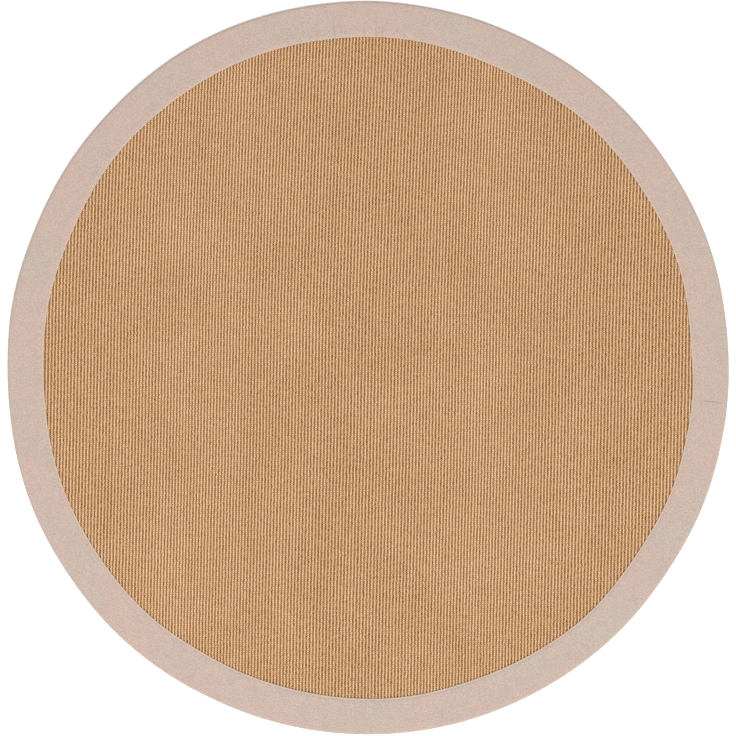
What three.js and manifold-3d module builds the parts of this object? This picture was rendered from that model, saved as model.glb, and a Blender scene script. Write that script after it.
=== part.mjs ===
// A round sisal rug, lying flat: a ribbed boucle panel with a wide cotton tape folded round its edge.
// Millimetres, +Z up. The origin is on the floor, at the middle of the rug's outline.
// The rug lies in the XY plane, and its ribs run near +Y. A bearing is in degrees from +X towards +Y.
import * as THREE from "three";
import { mergeVertices } from "three/addons/utils/BufferGeometryUtils.js";
import Module from "manifold-3d";

// Size of the rug. It is a little longer along Y than it is wide along X.
const RUG_WIDTH = 1501;
const RUG_LENGTH = 1524;
const BORDER = 74.4; // the tape's width on the face
const CLEARANCE = 0.3; // between the panel and the tape

// The woven panel.
const PANEL_THICKNESS = 7.5; // floor to rib crest
const RIB_PITCH = 6.67;
const RIB_RISE = 2.5; // valley to crest
const RIB_LEAN = 1.6; // degrees that the ribs lean from +Y towards +X
const PRESSED_WIDTH = 3.5; // how far in from the cut edge the fold presses the ribs down

// The binding tape.
const TAPE = 1.0; // thickness of the cotton
const HEM_WIDTH = 12; // the tape's inner edge, turned under
const HEM_RISE = 0.5; // what it adds at its highest, near the fold-under's end
const HEM_FADE = 26; // from the inner edge to where the tape lies flat again
const SEAM_IN = 2.6; // from the inner edge to the sewing
const SEAM_SINK = 0.3; // how far the sewing draws the tape's edge down
const HEM_ROLL = 0.5; // roundness of the inner edge
const FOLD_ROUNDING = 1.4; // what each corner of the fold round the rug's edge loses
const UNDER_WIDTH = 50; // tape on the underside
const JOIN_BEARING = -5.6; // where the tape's two ends meet
const JOIN_SLIT = 0.4;

// How the outline departs from an ellipse. Each row is one swell or flat: where its middle is, how far
// it reaches to each side, and how far it moves the outer edge and the tape's inner edge outwards.
const SWELLS = [
  { bearing: 4, reach: 12, outer: -0.3, inner: -3.1 },
  { bearing: 21, reach: 15, outer: 2.4, inner: 2.2 },
  { bearing: 66, reach: 20, outer: -2.4, inner: -6.7 },
  { bearing: 81, reach: 10, outer: -1.7, inner: -0.4 },
  { bearing: 116, reach: 22, outer: 3, inner: 2.5 },
  { bearing: 138, reach: 16, outer: -1.1, inner: 2.8 },
  { bearing: 156, reach: 16, outer: -2.9, inner: -2 },
  { bearing: 181, reach: 14, outer: -2.1, inner: -2.7 },
  { bearing: 204, reach: 16, outer: 3.1, inner: 2.4 },
  { bearing: 226, reach: 20, outer: 3, inner: 2.9 },
  { bearing: 238, reach: 9, outer: 0.4, inner: -1.6 },
  { bearing: 256, reach: 24, outer: -0.3, inner: -1.7 },
  { bearing: 288, reach: 14, outer: 0.1, inner: -2.5 },
  { bearing: 311, reach: 13, outer: 0.6, inner: 3.3 },
  { bearing: 326, reach: 12, outer: -1.1, inner: -0.4 },
  { bearing: 338, reach: 12, outer: 0.7, inner: 2.4 },
  { bearing: 354, reach: 9, outer: 0.4, inner: 1 },
];
const OUTLINE_STEPS = 120;

const SISAL_COLOUR = 0xc29871;
const COTTON_COLOUR = 0xcfbaac;

const degrees = THREE.MathUtils.degToRad;

// What the swells add to the outline at a bearing. Each one rises and falls as a squared cosine.
function swellAt(bearing, edge) {
  let sum = 0;
  for (const swell of SWELLS) {
    const away = Math.abs(((bearing - swell.bearing + 540) % 360) - 180);
    if (away < swell.reach) {
      sum += swell[edge] * Math.cos((Math.PI / 2) * (away / swell.reach)) ** 2;
    }
  }
  return sum;
}

function ellipseRadius(bearing) {
  const across = Math.cos(degrees(bearing)) / (RUG_WIDTH / 2);
  const along = Math.sin(degrees(bearing)) / (RUG_LENGTH / 2);
  return 1 / Math.hypot(across, along);
}

// The distance from the middle to a point that lies a given depth inside the outer edge.
function radiusAt(bearing, depth) {
  const share = Math.min(depth / BORDER, 1);
  const swell = (1 - share) * swellAt(bearing, "outer") + share * swellAt(bearing, "inner");
  return Math.max(ellipseRadius(bearing) + swell - depth, 0);
}

// A closed ring or disc: a section swept round the outline. Each point of the section gives its depth
// inside the outer edge and its height. A point at the middle of the rug has the depth MIDDLE.
const MIDDLE = RUG_LENGTH;

function sweepRound(section) {
  const profile = section.map((point) => new THREE.Vector2(MIDDLE - point.depth, point.height));
  const geometry = new THREE.LatheGeometry(profile, OUTLINE_STEPS);
  geometry.rotateX(Math.PI / 2);
  const place = geometry.getAttribute("position");
  for (let i = 0; i < place.count; i += 1) {
    const x = place.getX(i);
    const y = place.getY(i);
    const bearing = THREE.MathUtils.radToDeg(Math.atan2(y, x)) + 360;
    const radius = radiusAt(bearing, MIDDLE - Math.hypot(x, y));
    place.setX(i, radius * Math.cos(degrees(bearing)));
    place.setY(i, radius * Math.sin(degrees(bearing)));
  }
  return geometry;
}

const wasm = await Module();
wasm.setup();

function solidOf(geometry) {
  geometry.deleteAttribute("normal");
  geometry.deleteAttribute("uv");
  const merged = mergeVertices(geometry, 1e-3);
  return new wasm.Manifold(
    new wasm.Mesh({
      numProp: 3,
      vertProperties: merged.getAttribute("position").array,
      triVerts: new Uint32Array(merged.index.array),
    }),
  );
}

function geometryOf(solid) {
  const mesh = solid.getMesh();
  const geometry = new THREE.BufferGeometry();
  geometry.setAttribute("position", new THREE.BufferAttribute(mesh.vertProperties, 3));
  geometry.setIndex(new THREE.BufferAttribute(mesh.triVerts, 1));
  geometry.computeVertexNormals();
  return geometry;
}

// One rib, as shares of the pitch and of the rise: a sharp valley, then a rounded crest.
const RIB_SHAPE = [
  { across: 0, up: 0 },
  { across: 0.28, up: 0.86 },
  { across: 0.5, up: 1 },
  { across: 0.72, up: 0.86 },
];

// The woven cloth before it is cut round: a slab with ribs along its upper face.
function ribbedCloth() {
  const ribs = 2 * Math.ceil(RUG_LENGTH / 2 / RIB_PITCH) + 2;
  const half = (ribs * RIB_PITCH) / 2;
  const valley = PANEL_THICKNESS - RIB_RISE;
  const section = new THREE.Shape();
  section.moveTo(half, 0);
  section.lineTo(half, valley);
  for (let rib = ribs - 1; rib >= 0; rib -= 1) {
    for (const point of [...RIB_SHAPE].reverse()) {
      section.lineTo((rib + point.across) * RIB_PITCH - half, valley + point.up * RIB_RISE);
    }
  }
  section.lineTo(-half, 0);
  section.closePath();
  const cloth = new THREE.ExtrudeGeometry(section, { depth: 2 * half, bevelEnabled: false });
  cloth.translate(0, 0, -half);
  cloth.rotateX(Math.PI / 2);
  cloth.rotateZ(degrees(-RIB_LEAN));
  return cloth;
}

// The panel's edge under the tape, from the tape's inner edge over the ribs, down the cut side and
// back along a step in the underside that makes room for the tape's lower flange.
const SEAT = TAPE + CLEARANCE;
const PANEL_EDGE = [
  { depth: BORDER, height: PANEL_THICKNESS },
  { depth: SEAT + PRESSED_WIDTH, height: PANEL_THICKNESS },
  { depth: SEAT, height: PANEL_THICKNESS - RIB_RISE },
  { depth: SEAT, height: SEAT },
  { depth: UNDER_WIDTH, height: SEAT },
];

// The same path moved outwards, off the panel, with its corners kept sharp.
function movedOut(path, distance) {
  const sides = path.slice(1).map((point, i) => {
    const run = new THREE.Vector2(point.depth - path[i].depth, point.height - path[i].height);
    return run.normalize().rotateAround(new THREE.Vector2(), -Math.PI / 2);
  });
  return path.map((point, i) => {
    const before = sides[Math.max(i - 1, 0)];
    const after = sides[Math.min(i, sides.length - 1)];
    const mitre = distance / (1 + before.dot(after));
    return {
      depth: point.depth + (before.x + after.x) * mitre,
      height: point.height + (before.y + after.y) * mitre,
    };
  });
}

// A path with each corner cut off, a given length along both of its sides.
function cornersCut(path, length) {
  const towards = (from, to) => {
    const share = length / Math.hypot(to.depth - from.depth, to.height - from.height);
    return {
      depth: from.depth + (to.depth - from.depth) * share,
      height: from.height + (to.height - from.height) * share,
    };
  };
  return path.flatMap((point, i) => {
    if (i === 0 || i === path.length - 1) {
      return [point];
    }
    return [towards(point, path[i - 1]), towards(point, path[i + 1])];
  });
}

// The panel is cut out of the cloth by a disc with that edge, which reaches above the crests.
function panelGeometry() {
  const above = PANEL_THICKNESS + RIB_RISE;
  const disc = sweepRound([
    { depth: MIDDLE, height: 0 },
    { depth: UNDER_WIDTH + CLEARANCE, height: 0 },
    { depth: UNDER_WIDTH + CLEARANCE, height: SEAT },
    PANEL_EDGE[3],
    PANEL_EDGE[2],
    PANEL_EDGE[1],
    { depth: SEAT + PRESSED_WIDTH, height: above },
    { depth: MIDDLE, height: above },
  ]);
  return geometryOf(solidOf(disc).intersect(solidOf(ribbedCloth())));
}

// The tape's section: the face that meets the panel, then back round the outside from the raw end
// underneath to the turned-under inner edge. Its two ends meet at a slit.
function tapeGeometry() {
  const inside = movedOut(PANEL_EDGE, CLEARANCE);
  const outside = cornersCut(movedOut(PANEL_EDGE, SEAT), FOLD_ROUNDING).reverse();
  const lie = PANEL_THICKNESS + CLEARANCE;
  const top = lie + TAPE;
  const start = { depth: BORDER - HEM_ROLL, height: lie };
  const tape = sweepRound([
    start,
    ...inside.slice(1),
    ...outside.slice(0, -1),
    { depth: BORDER - HEM_FADE, height: top },
    { depth: BORDER - HEM_WIDTH, height: top + HEM_RISE },
    { depth: BORDER - SEAM_IN, height: top - SEAM_SINK },
    { depth: BORDER - HEM_ROLL, height: top - SEAM_SINK },
    { depth: BORDER, height: lie + HEM_ROLL },
    start,
  ]);
  const slit = new THREE.BoxGeometry(2 * BORDER, JOIN_SLIT, 4 * PANEL_THICKNESS);
  slit.translate(RUG_WIDTH / 2 - BORDER / 2, 0, 0);
  slit.rotateZ(degrees(JOIN_BEARING));
  return geometryOf(solidOf(tape).subtract(solidOf(slit)));
}

function clothMesh(name, geometry, colour, roughness) {
  const material = new THREE.MeshStandardMaterial({ color: colour, roughness, metalness: 0 });
  const mesh = new THREE.Mesh(geometry, material);
  mesh.name = name;
  return mesh;
}

const rug = new THREE.Group();
rug.add(clothMesh("sisal_panel", panelGeometry(), SISAL_COLOUR, 0.92));
rug.add(clothMesh("cotton_binding", tapeGeometry(), COTTON_COLOUR, 0.85));

// The swells leave the outline a little off centre, so the whole rug moves onto the origin.
const middle = new THREE.Box3().setFromObject(rug).getCenter(new THREE.Vector3());
rug.position.set(-middle.x, -middle.y, 0);

export default rug;
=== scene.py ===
import math

import bpy
import numpy as np
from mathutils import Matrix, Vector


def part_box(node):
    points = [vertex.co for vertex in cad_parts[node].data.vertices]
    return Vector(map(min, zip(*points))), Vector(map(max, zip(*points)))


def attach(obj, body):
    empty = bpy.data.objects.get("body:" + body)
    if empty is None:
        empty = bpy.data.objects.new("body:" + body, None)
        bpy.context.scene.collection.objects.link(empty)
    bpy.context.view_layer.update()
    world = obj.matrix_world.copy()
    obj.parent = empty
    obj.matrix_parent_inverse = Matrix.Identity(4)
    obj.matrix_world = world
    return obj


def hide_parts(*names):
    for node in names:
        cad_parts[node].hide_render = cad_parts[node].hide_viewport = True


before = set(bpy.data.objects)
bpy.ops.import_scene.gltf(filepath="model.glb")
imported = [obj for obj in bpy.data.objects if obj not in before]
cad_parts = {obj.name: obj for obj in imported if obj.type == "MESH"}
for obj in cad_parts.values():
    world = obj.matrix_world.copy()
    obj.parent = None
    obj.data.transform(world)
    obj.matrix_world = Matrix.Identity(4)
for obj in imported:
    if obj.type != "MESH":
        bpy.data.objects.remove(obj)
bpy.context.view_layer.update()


# The sisal panel
# One round of boucle cloth: thick sisal yarn stands in straight rows of loops on a plain woven
# ground, and latex on the back holds it. It is cut out round, and the tape holds its cut edge.

MM = 0.001
RUG_WIDTH = 1501.0  # mm, along X
RUG_LENGTH = 1524.0  # mm, along Y
BORDER = 74.4  # mm of tape on the face
TAPE = 1.0  # mm, the tape's thickness
CLEARANCE = 0.3  # mm between the panel and the tape
SEAT = TAPE + CLEARANCE
UNDER_WIDTH = 50.0  # mm of tape on the underside

# How the outline departs from an ellipse. Each row is one swell or flat: its middle and its reach
# to each side in degrees, and how many mm it moves the outer edge and the tape's inner edge out.
SWELLS = [
    dict(bearing=4, reach=12, outer=-0.3, inner=-3.1),
    dict(bearing=21, reach=15, outer=2.4, inner=2.2),
    dict(bearing=66, reach=20, outer=-2.4, inner=-6.7),
    dict(bearing=81, reach=10, outer=-1.7, inner=-0.4),
    dict(bearing=116, reach=22, outer=3, inner=2.5),
    dict(bearing=138, reach=16, outer=-1.1, inner=2.8),
    dict(bearing=156, reach=16, outer=-2.9, inner=-2),
    dict(bearing=181, reach=14, outer=-2.1, inner=-2.7),
    dict(bearing=204, reach=16, outer=3.1, inner=2.4),
    dict(bearing=226, reach=20, outer=3, inner=2.9),
    dict(bearing=238, reach=9, outer=0.4, inner=-1.6),
    dict(bearing=256, reach=24, outer=-0.3, inner=-1.7),
    dict(bearing=288, reach=14, outer=0.1, inner=-2.5),
    dict(bearing=311, reach=13, outer=0.6, inner=3.3),
    dict(bearing=326, reach=12, outer=-1.1, inner=-0.4),
    dict(bearing=338, reach=12, outer=0.7, inner=2.4),
    dict(bearing=354, reach=9, outer=0.4, inner=1),
]


def swell_at(bearing, edge):
    total = np.zeros(np.shape(bearing))
    for swell in SWELLS:
        away = np.abs((bearing - swell["bearing"] + 180) % 360 - 180)
        rise = swell[edge] * np.cos(np.pi / 2 * away / swell["reach"]) ** 2
        total += np.where(away < swell["reach"], rise, 0)
    return total


def on_rug(bearing, depth):
    """x and y in mm of the points at these bearings that lie these depths inside the outer edge."""
    turn = np.radians(bearing)
    radius = 1 / np.hypot(np.cos(turn) / (RUG_WIDTH / 2), np.sin(turn) / (RUG_LENGTH / 2))
    share = np.clip(depth / BORDER, 0, 1)
    radius = radius + (1 - share) * swell_at(bearing, "outer") + share * swell_at(bearing, "inner")
    radius = radius - depth
    return radius * np.cos(turn) - MIDDLE[0], radius * np.sin(turn) - MIDDLE[1]


# The middle of the outline's box, which is where the CAD puts the origin.
MIDDLE = (0, 0)
rim_x, rim_y = on_rug(np.arange(0, 360, 0.5), 0)
MIDDLE = ((rim_x.max() + rim_x.min()) / 2, (rim_y.max() + rim_y.min()) / 2)

PANEL_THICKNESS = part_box("sisal_panel")[1].z / MM  # floor to the tops of the loops
RIB_PITCH = 6.67  # mm
RIB_RISE = 2.5  # mm from valley to the tops of the loops
VALLEY = PANEL_THICKNESS - RIB_RISE
GROUND_RISE = 0.2  # mm that the ground cloth itself rises under a row of loops
GROUND_UNEVENNESS = 0.12  # share of that rise that comes and goes
GROUND_ROUNDNESS = 0.7  # power of the arch across a rib: less than 1 is a fuller arch
GROUND_DRIFT = 0.09  # how fast that comes and goes from row to row, against from rib to rib
LOOP_PITCH = 4.26  # mm along a rib
RIB_SAMPLES = (0, 0.5)  # where a rib's section has its points, as shares of the pitch
ROWS = 40  # points along a rib

# The cloth isn't quite even. Across the rug its ribs stand wider here and closer there. Along the
# rug they lean by an angle that changes, and the rows of loops are wider or closer too.
ACROSS = [
    dict(x=-760, rib=6.84),
    dict(x=-597, rib=6.82),
    dict(x=-493, rib=6.75),
    dict(x=-389, rib=6.36),
    dict(x=-285, rib=6.41),
    dict(x=-181, rib=6.65),
    dict(x=-77, rib=6.85),
    dict(x=27, rib=6.87),
    dict(x=130, rib=6.65),
    dict(x=234, rib=6.36),
    dict(x=338, rib=6.63),
    dict(x=442, rib=6.83),
    dict(x=546, rib=6.94),
    dict(x=760, rib=6.94),
]  # mm across the rug, and mm from rib to rib
ALONG = [
    dict(y=-770, lean=1.0, row=4.39),
    dict(y=-545, lean=1.0, row=4.39),
    dict(y=-441, lean=1.55, row=4.30),
    dict(y=-338, lean=1.3, row=4.19),
    dict(y=-234, lean=1.45, row=4.35),
    dict(y=-130, lean=1.0, row=4.32),
    dict(y=-26, lean=1.0, row=4.35),
    dict(y=78, lean=0.9, row=4.37),
    dict(y=181, lean=1.9, row=4.37),
    dict(y=285, lean=1.75, row=4.24),
    dict(y=389, lean=2.2, row=4.27),
    dict(y=493, lean=2.4, row=4.32),
    dict(y=770, lean=2.4, row=4.32),
]  # mm along the rug, degrees from +Y towards +X, and mm from row to row
ROW_SLOPE = 0.035  # the rows climb this much for each mm along X


def column_of(table, name):
    return np.array([row[name] for row in table], float)


def summed(at, rate):
    """The running sum of a rate given at a few places, as fine steps and 0 at the middle."""
    steps = np.arange(at[0], at[-1] + 1)
    total = np.cumsum(np.interp(steps, at, rate))
    return steps, total - np.interp(0, steps, total)


x_steps, ribs_passed = summed(column_of(ACROSS, "x"), 1 / column_of(ACROSS, "rib"))
lean_slopes = np.tan(np.radians(column_of(ALONG, "lean")))
y_steps, leaned = summed(column_of(ALONG, "y"), lean_slopes)
rows_passed = summed(column_of(ALONG, "y"), 1 / column_of(ALONG, "row"))[1]


def rib_place(rib):
    """Where a rib coordinate, which is 1 more at each valley, crosses the X axis, in mm."""
    return np.interp(rib, ribs_passed, x_steps)


def strayed(x, y):
    """Where a rib that crosses the X axis at x has got to at y."""
    return x + np.interp(y, y_steps, leaned)


def row_at(x, y):
    """The loops stand side by side in rows across the ribs. This counts rows, whole between two."""
    return np.interp(y - ROW_SLOPE * x, y_steps, rows_passed)


def rib_ends(x, depth):
    """The lowest and highest y that a rib reaches inside the outline drawn in by a depth. Both are
    0 for a rib that doesn't come inside it."""
    turn = np.radians(np.arange(0, 360, 0.25))
    rim = np.stack(on_rug(np.degrees(turn), depth))
    crossing = rim[0] - np.interp(rim[1], y_steps, leaned)
    upper, lower = rim[1] > 0, rim[1] <= 0
    ends = []
    for half in (lower, upper):
        order = np.argsort(crossing[half])
        ends.append(np.interp(x, crossing[half][order], rim[1][half][order], left=0, right=0))
    return ends


def mesh_of(name, points, faces):
    """A mesh in metres from points in mm, given one array of corner indices for each face size."""
    mesh = bpy.data.meshes.new(name)
    rows = [row for group in faces for row in np.asarray(group).tolist()]
    mesh.from_pydata((np.asarray(points) * MM).tolist(), [], rows)
    mesh.shade_smooth()
    return mesh


def read(items, field, width=1, kind=np.float32):
    """One field of a mesh's points, corners or faces as an array."""
    values = np.empty(len(items) * width, kind)
    items.foreach_get(field, values)
    return values.reshape(-1, width) if width > 1 else values


def set_uv(mesh, name, of_corner):
    """A UV map with one pair for each face corner."""
    layer = mesh.uv_layers.new(name=name, do_init=False)
    layer.uv.foreach_set("vector", np.asarray(of_corner, np.float32).ravel())


def set_values(mesh, name, of_point):
    """A named number for each point of a mesh."""
    stored = mesh.attributes.new(name, "FLOAT", "POINT")
    stored.data.foreach_set("value", np.asarray(of_point, np.float32).ravel())


def placed(name, data):
    """A new object in the scene, at the origin."""
    made = bpy.data.objects.new(name, data)
    bpy.context.scene.collection.objects.link(made)
    return made


def set_bake_uv(mesh):
    """A UV map for a bake: what faces up as seen from above, what faces down small in one corner,
    and what stands upright in a strip along the other side."""
    corner_point = read(mesh.loops, "vertex_index", kind=np.int32)
    places = read(mesh.vertices, "co", 3)[corner_point]
    face_sizes = read(mesh.polygons, "loop_total", kind=np.int32)
    up = np.repeat(read(mesh.polygons, "normal", 3)[:, 2], face_sizes)
    low, high = places.min(axis=0), places.max(axis=0)
    share = (places - low) / (high - low)
    seen = 0.25 + 0.75 * share[:, :2]
    under = 0.23 * share[:, :2]
    around = np.arctan2(places[:, 1], places[:, 0]) / (2 * math.pi) + 0.5
    upright = np.stack([0.26 + 0.72 * around, 0.01 + 0.2 * share[:, 2]], axis=1)
    of_corner = np.where(up[:, None] > 0.02, seen, np.where(up[:, None] < -0.02, under, upright))
    set_uv(mesh, "OFBake", of_corner)


def ring_faces(ring_a, ring_b):
    """The four-sided faces between two rings of as many points."""
    return np.stack([ring_a, np.roll(ring_a, -1), np.roll(ring_b, -1), ring_b], axis=1)


cut_edge = np.stack(on_rug(np.arange(0, 360, 0.25), SEAT))
edge_ribs = np.interp(cut_edge[0] - np.interp(cut_edge[1], y_steps, leaned), x_steps, ribs_passed)
SLIVER = 0.05  # share of a rib at the edge that is left out
first_rib = math.ceil(edge_ribs.min() + SLIVER)
last_rib = math.floor(edge_ribs.max() - SLIVER)
ribs = np.concatenate([n + np.array(RIB_SAMPLES) for n in range(first_rib, last_rib)])
ribs = np.append(ribs, last_rib)
column_x = rib_place(ribs)
low_end, high_end = rib_ends(column_x, SEAT)
along_share = np.linspace(0, 1, ROWS)
cloth_y = low_end[:, None] + (high_end - low_end)[:, None] * along_share
cloth_x = strayed(column_x[:, None], cloth_y)
columns = len(ribs)
grid = np.arange(columns * ROWS).reshape(columns, ROWS)
rim = np.concatenate([grid[:, 0], grid[-1, 1:], grid[-2::-1, -1], grid[0, -2:0:-1]])
flat_x, flat_y = cloth_x.ravel(), cloth_y.ravel()
rim_bearing = np.degrees(np.arctan2(flat_y[rim], flat_x[rim]))
flat_x[rim], flat_y[rim] = on_rug(rim_bearing, SEAT)
under_x, under_y = on_rug(rim_bearing, UNDER_WIDTH + CLEARANCE)
points = np.concatenate(
    [
        np.stack([flat_x, flat_y, np.full(flat_x.size, VALLEY)], axis=1),
        np.stack([flat_x[rim], flat_y[rim], np.full(rim.size, SEAT)], axis=1),
        np.stack([under_x, under_y, np.full(rim.size, SEAT)], axis=1),
        np.stack([under_x, under_y, np.zeros(rim.size)], axis=1),
        [[0, 0, 0]],
    ]
)
side = grid.size + np.arange(rim.size)
step = side + rim.size
back = step + rim.size
hub = np.full(rim.size, back[-1] + 1)
top_faces = np.stack([grid[:-1, :-1], grid[1:, :-1], grid[1:, 1:], grid[:-1, 1:]], axis=-1)
cloth = mesh_of(
    "sisal_cloth",
    points,
    [
        top_faces.reshape(-1, 4),
        ring_faces(side, rim),
        ring_faces(step, side),
        ring_faces(back, step),
        np.stack([back, hub, np.roll(back, -1)], axis=1),
    ],
)
weave_uv = np.zeros((len(points), 2))
weave_uv[: grid.size, 0] = np.repeat(ribs, ROWS)
weave_uv[: grid.size, 1] = row_at(flat_x, flat_y)
set_uv(cloth, "weave", weave_uv[read(cloth.loops, "vertex_index", kind=np.int32)])
lift = np.zeros(len(points))
lift[: grid.size] = 1
lift[rim] = 0
set_values(cloth, "lift", lift)
set_values(cloth, "rib", weave_uv[:, 0])
set_values(cloth, "along", weave_uv[:, 1])
panel = placed("sisal_boucle_panel", cloth)


def linear(hex_colour):
    """An sRGB hex colour as linear red, green, blue and alpha."""
    parts = [int(hex_colour[i : i + 2], 16) / 255 for i in (1, 3, 5)]
    return tuple(c / 12.92 if c <= 0.04045 else ((c + 0.055) / 1.055) ** 2.4 for c in parts) + (1,)


def add(tree, kind, links=None, out=0, **settings):
    """Adds a node, sets its fields, sets or links its inputs, and gives one of its outputs."""
    made = tree.nodes.new(kind)
    for field, value in settings.items():
        setattr(made, field, value)
    for socket, value in (links or {}).items():
        if isinstance(value, bpy.types.NodeSocket):
            tree.links.new(value, made.inputs[socket])
        else:
            made.inputs[socket].default_value = value
    return made.outputs[out] if len(made.outputs) else made


def new_material(name):
    material = bpy.data.materials.new(name)
    material.use_nodes = True
    material.node_tree.nodes.clear()
    return material, material.node_tree


# Undyed sisal yarn: a pale gold fibre, dull with a slight gloss. A loop's colour follows its
# height: its top is light and its foot browner, partly the fibre's own tone and partly painted
# shade where the feet stand down in the valleys, and no two loops are quite the same gold.
SISAL_LIGHT = linear("#F4D3AF")
SISAL_GOLD = linear("#D9AD80")
SISAL_BROWN_AND_SHADE = linear("#9A6428")
BROWN_AND_SHADE_UP_TO = 0.16  # shares of a loop's height where the brown ends and the light tone begins
LIGHT_FROM = 0.74
sisal, tree = new_material("sisal_boucle_yarn")
place = add(tree, "ShaderNodeTexCoord", out=3)
split = tree.nodes.new("ShaderNodeSeparateXYZ")
tree.links.new(place, split.inputs[0])
loop_chance = add(tree, "ShaderNodeAttribute", out=2, attribute_name="chance")
rib_chance = add(tree, "ShaderNodeAttribute", out=2, attribute_name="rib_chance")
# Painted shade: the tone runs from brown at a loop's foot to light at its top by height alone.
height = add(
    tree,
    "ShaderNodeMapRange",
    {
        "Value": split.outputs[2],
        "From Min": (VALLEY + BROWN_AND_SHADE_UP_TO * RIB_RISE) * MM,
        "From Max": (VALLEY + LIGHT_FROM * RIB_RISE) * MM,
        "To Min": 0.18,
        "To Max": 0.82,
    },
)
# The tone also varies broadly over the cloth, in streaks along a row, in the fibres, in flecks,
# from rib to rib and from loop to loop.
broad = add(tree, "ShaderNodeTexNoise", {"Vector": place, "Scale": 1 / (160 * MM), "Detail": 2.0})
streak_place = add(
    tree, "ShaderNodeMapping", {"Vector": place, "Scale": (1 / (70 * MM), 1 / (5 * MM), 0)}
)
streaks = add(tree, "ShaderNodeTexNoise", {"Vector": streak_place, "Scale": 1.0, "Detail": 1.0})
fibre_place = add(
    tree, "ShaderNodeMapping", {"Vector": place, "Scale": (1 / (0.5 * MM), 1 / (1.6 * MM), 0)}
)
fibres = add(tree, "ShaderNodeTexNoise", {"Vector": fibre_place, "Scale": 1.0, "Detail": 1.0})
flecks = add(tree, "ShaderNodeTexNoise", {"Vector": place, "Scale": 1 / (2.6 * MM), "Detail": 0.0})
tone = height
for chance, amount in [
    (broad, 0.2),
    (streaks, 0.13),
    (fibres, 0.3),
    (flecks, 0.16),
    (rib_chance, 0.04),
    (loop_chance, 0.08),
]:
    spread = add(tree, "ShaderNodeMath", {0: chance, 1: 0.5}, operation="SUBTRACT")
    tone = add(tree, "ShaderNodeMath", {0: spread, 1: amount, 2: tone}, operation="MULTIPLY_ADD")
ramp = tree.nodes.new("ShaderNodeValToRGB")
tree.links.new(tone, ramp.inputs[0])
stops = ramp.color_ramp.elements
stops[0].position, stops[0].color = 0.0, SISAL_BROWN_AND_SHADE
stops[1].position, stops[1].color = 1.0, SISAL_LIGHT
middle_stop = stops.new(0.5)
middle_stop.color = SISAL_GOLD
bump = add(tree, "ShaderNodeBump", {"Height": fibres, "Strength": 0.7, "Distance": 0.4 * MM})
surface = add(
    tree,
    "ShaderNodeBsdfPrincipled",
    {
        "Base Color": ramp.outputs[0],
        "Roughness": 0.8,
        "Specular IOR Level": 0.25,
        "Normal": bump,
    },
)
add(tree, "ShaderNodeOutputMaterial", {"Surface": surface})

# The ground cloth, woven in brown jute, shows only between the rows of loops. Its weft crosses
# there between one loop and the next, and beside each loop there is a hole, painted dark brown for
# the shade that falls in it. The relief is drawn deeper than it is, so that the holes show.
GROUND_HOLE_SHADE = linear("#5C3813")
GROUND_WEFT = linear("#B18957")
ground, tree = new_material("jute_ground_weave")
weave = add(tree, "ShaderNodeUVMap", uv_map="weave")
place = add(tree, "ShaderNodeTexCoord", out=3)
split = tree.nodes.new("ShaderNodeSeparateXYZ")
tree.links.new(weave, split.inputs[0])
row_turn = add(tree, "ShaderNodeMath", {0: split.outputs[1], 1: math.pi}, operation="MULTIPLY")
row_sine = add(tree, "ShaderNodeMath", {0: row_turn}, operation="SINE")
hole_and_shade = add(tree, "ShaderNodeMath", {0: row_sine, 1: row_sine}, operation="MULTIPLY")
hole_id = add(tree, "ShaderNodeVectorMath", {0: weave, 1: (0.5, 0, 0)}, operation="ADD")
hole_id = add(tree, "ShaderNodeVectorMath", {0: hole_id}, operation="FLOOR")
hole_chance = add(tree, "ShaderNodeTexWhiteNoise", {"Vector": hole_id}, noise_dimensions="2D")
hole_deep = add(tree, "ShaderNodeMath", {0: hole_chance, 1: 1.0, 2: 0.12}, operation="MULTIPLY_ADD")
jute_place = add(
    tree, "ShaderNodeMapping", {"Vector": place, "Scale": (1 / (2.2 * MM), 1 / (0.5 * MM), 0)}
)
jute = add(tree, "ShaderNodeTexNoise", {"Vector": jute_place, "Scale": 1.0, "Detail": 2.0})
frayed = add(tree, "ShaderNodeMath", {0: jute, 1: 0.7, 2: -0.35}, operation="MULTIPLY_ADD")
hole_and_shade = add(tree, "ShaderNodeMath", {0: hole_and_shade, 1: hole_deep, 2: frayed}, operation="MULTIPLY_ADD")
# Painted shade: the cloth is mixed towards dark brown in each hole, as the shade there.
colour = add(
    tree,
    "ShaderNodeMix",
    {"Factor": hole_and_shade, "A": GROUND_WEFT, "B": GROUND_HOLE_SHADE},
    out=2,
    data_type="RGBA",
)
cord = add(tree, "ShaderNodeMath", {0: hole_and_shade, 1: -1.0, 2: jute}, operation="MULTIPLY_ADD")
bump = add(tree, "ShaderNodeBump", {"Height": cord, "Strength": 1.0, "Distance": 1.5 * MM})
surface = add(
    tree,
    "ShaderNodeBsdfPrincipled",
    {"Base Color": colour, "Roughness": 0.9, "Specular IOR Level": 0.2, "Normal": bump},
)
add(tree, "ShaderNodeOutputMaterial", {"Surface": surface})

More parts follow.
